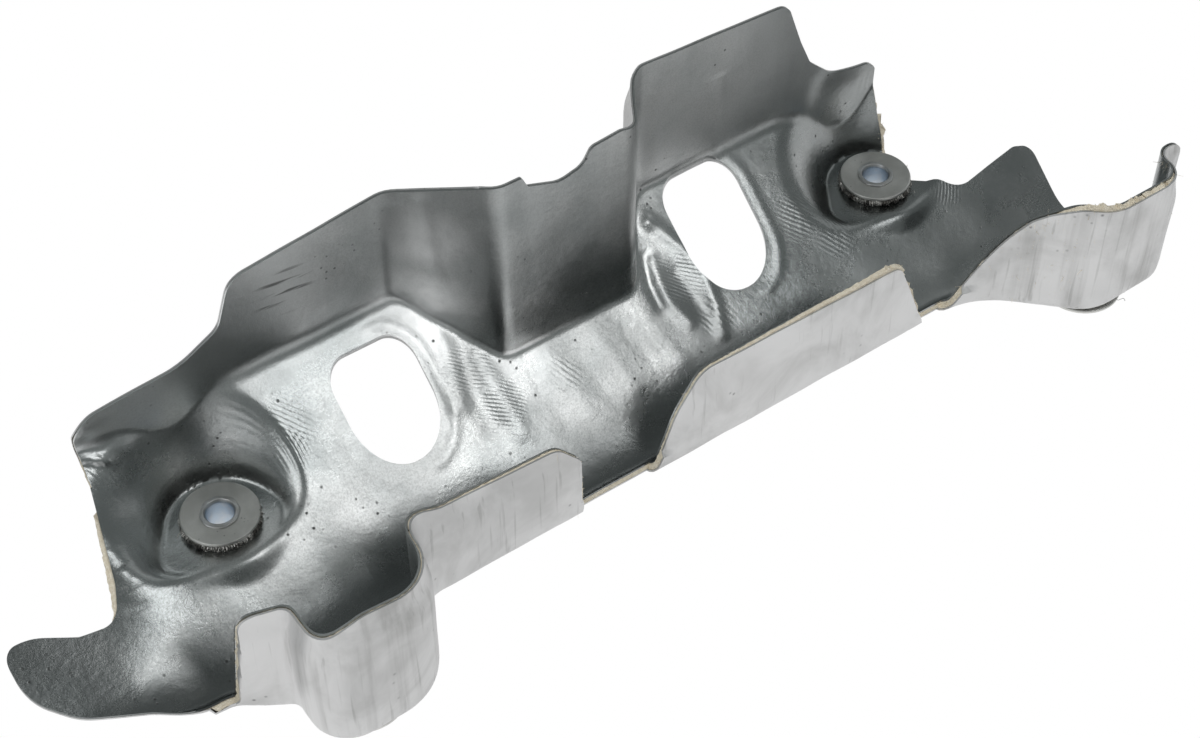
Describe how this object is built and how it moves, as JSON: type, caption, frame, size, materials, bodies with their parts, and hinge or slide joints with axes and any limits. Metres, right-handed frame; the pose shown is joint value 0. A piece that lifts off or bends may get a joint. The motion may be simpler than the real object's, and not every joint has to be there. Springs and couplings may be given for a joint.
{
  "type": "exhaust heat shield",
  "caption": "Pressed sandwich heat shield for an exhaust: felt between two metal sheets, formed as an open trough with windows in its floor and isolating mounts.",
  "frame": {"origin": "on the axis of mount 1, the left one of the two on the sloping floor, where its lower sleeve flange seats on the engine", "axes": "+X along the shield, towards the end with the stepped lip; +Y across it, towards the tall wall; +Z along the bolt axes, away from the engine"},
  "size_m": [0.4262, 0.1091, 0.1141],
  "materials": {
    "inner_sheet": "satin",
    "felt": "matte",
    "outer_sheet": "matte",
    "sleeve": "satin",
    "washer": "satin",
    "wire_mesh": "matte"
  },
  "bodies": {
    "root": {"inner_sheet": "inner_sheet", "felt_mat": "felt", "outer_sheet": "outer_sheet", "mount_1_sleeve": "sleeve", "mount_1_lower_washer": "washer", "mount_1_lower_mesh_ring": "wire_mesh", "mount_1_upper_mesh_ring": "wire_mesh", "mount_1_upper_washer": "washer", "mount_2_sleeve": "sleeve", "mount_2_lower_washer": "washer", "mount_2_lower_mesh_ring": "wire_mesh", "mount_2_upper_mesh_ring": "wire_mesh", "mount_2_upper_washer": "washer", "mount_3_sleeve": "sleeve", "mount_3_lower_washer": "washer", "mount_3_lower_mesh_ring": "wire_mesh", "mount_3_upper_mesh_ring": "wire_mesh", "mount_3_upper_washer": "washer", "mount_4_sleeve": "sleeve", "mount_4_lower_washer": "washer", "mount_4_lower_mesh_ring": "wire_mesh", "mount_4_upper_mesh_ring": "wire_mesh", "mount_4_upper_washer": "washer"}
  },
  "joints": []
}
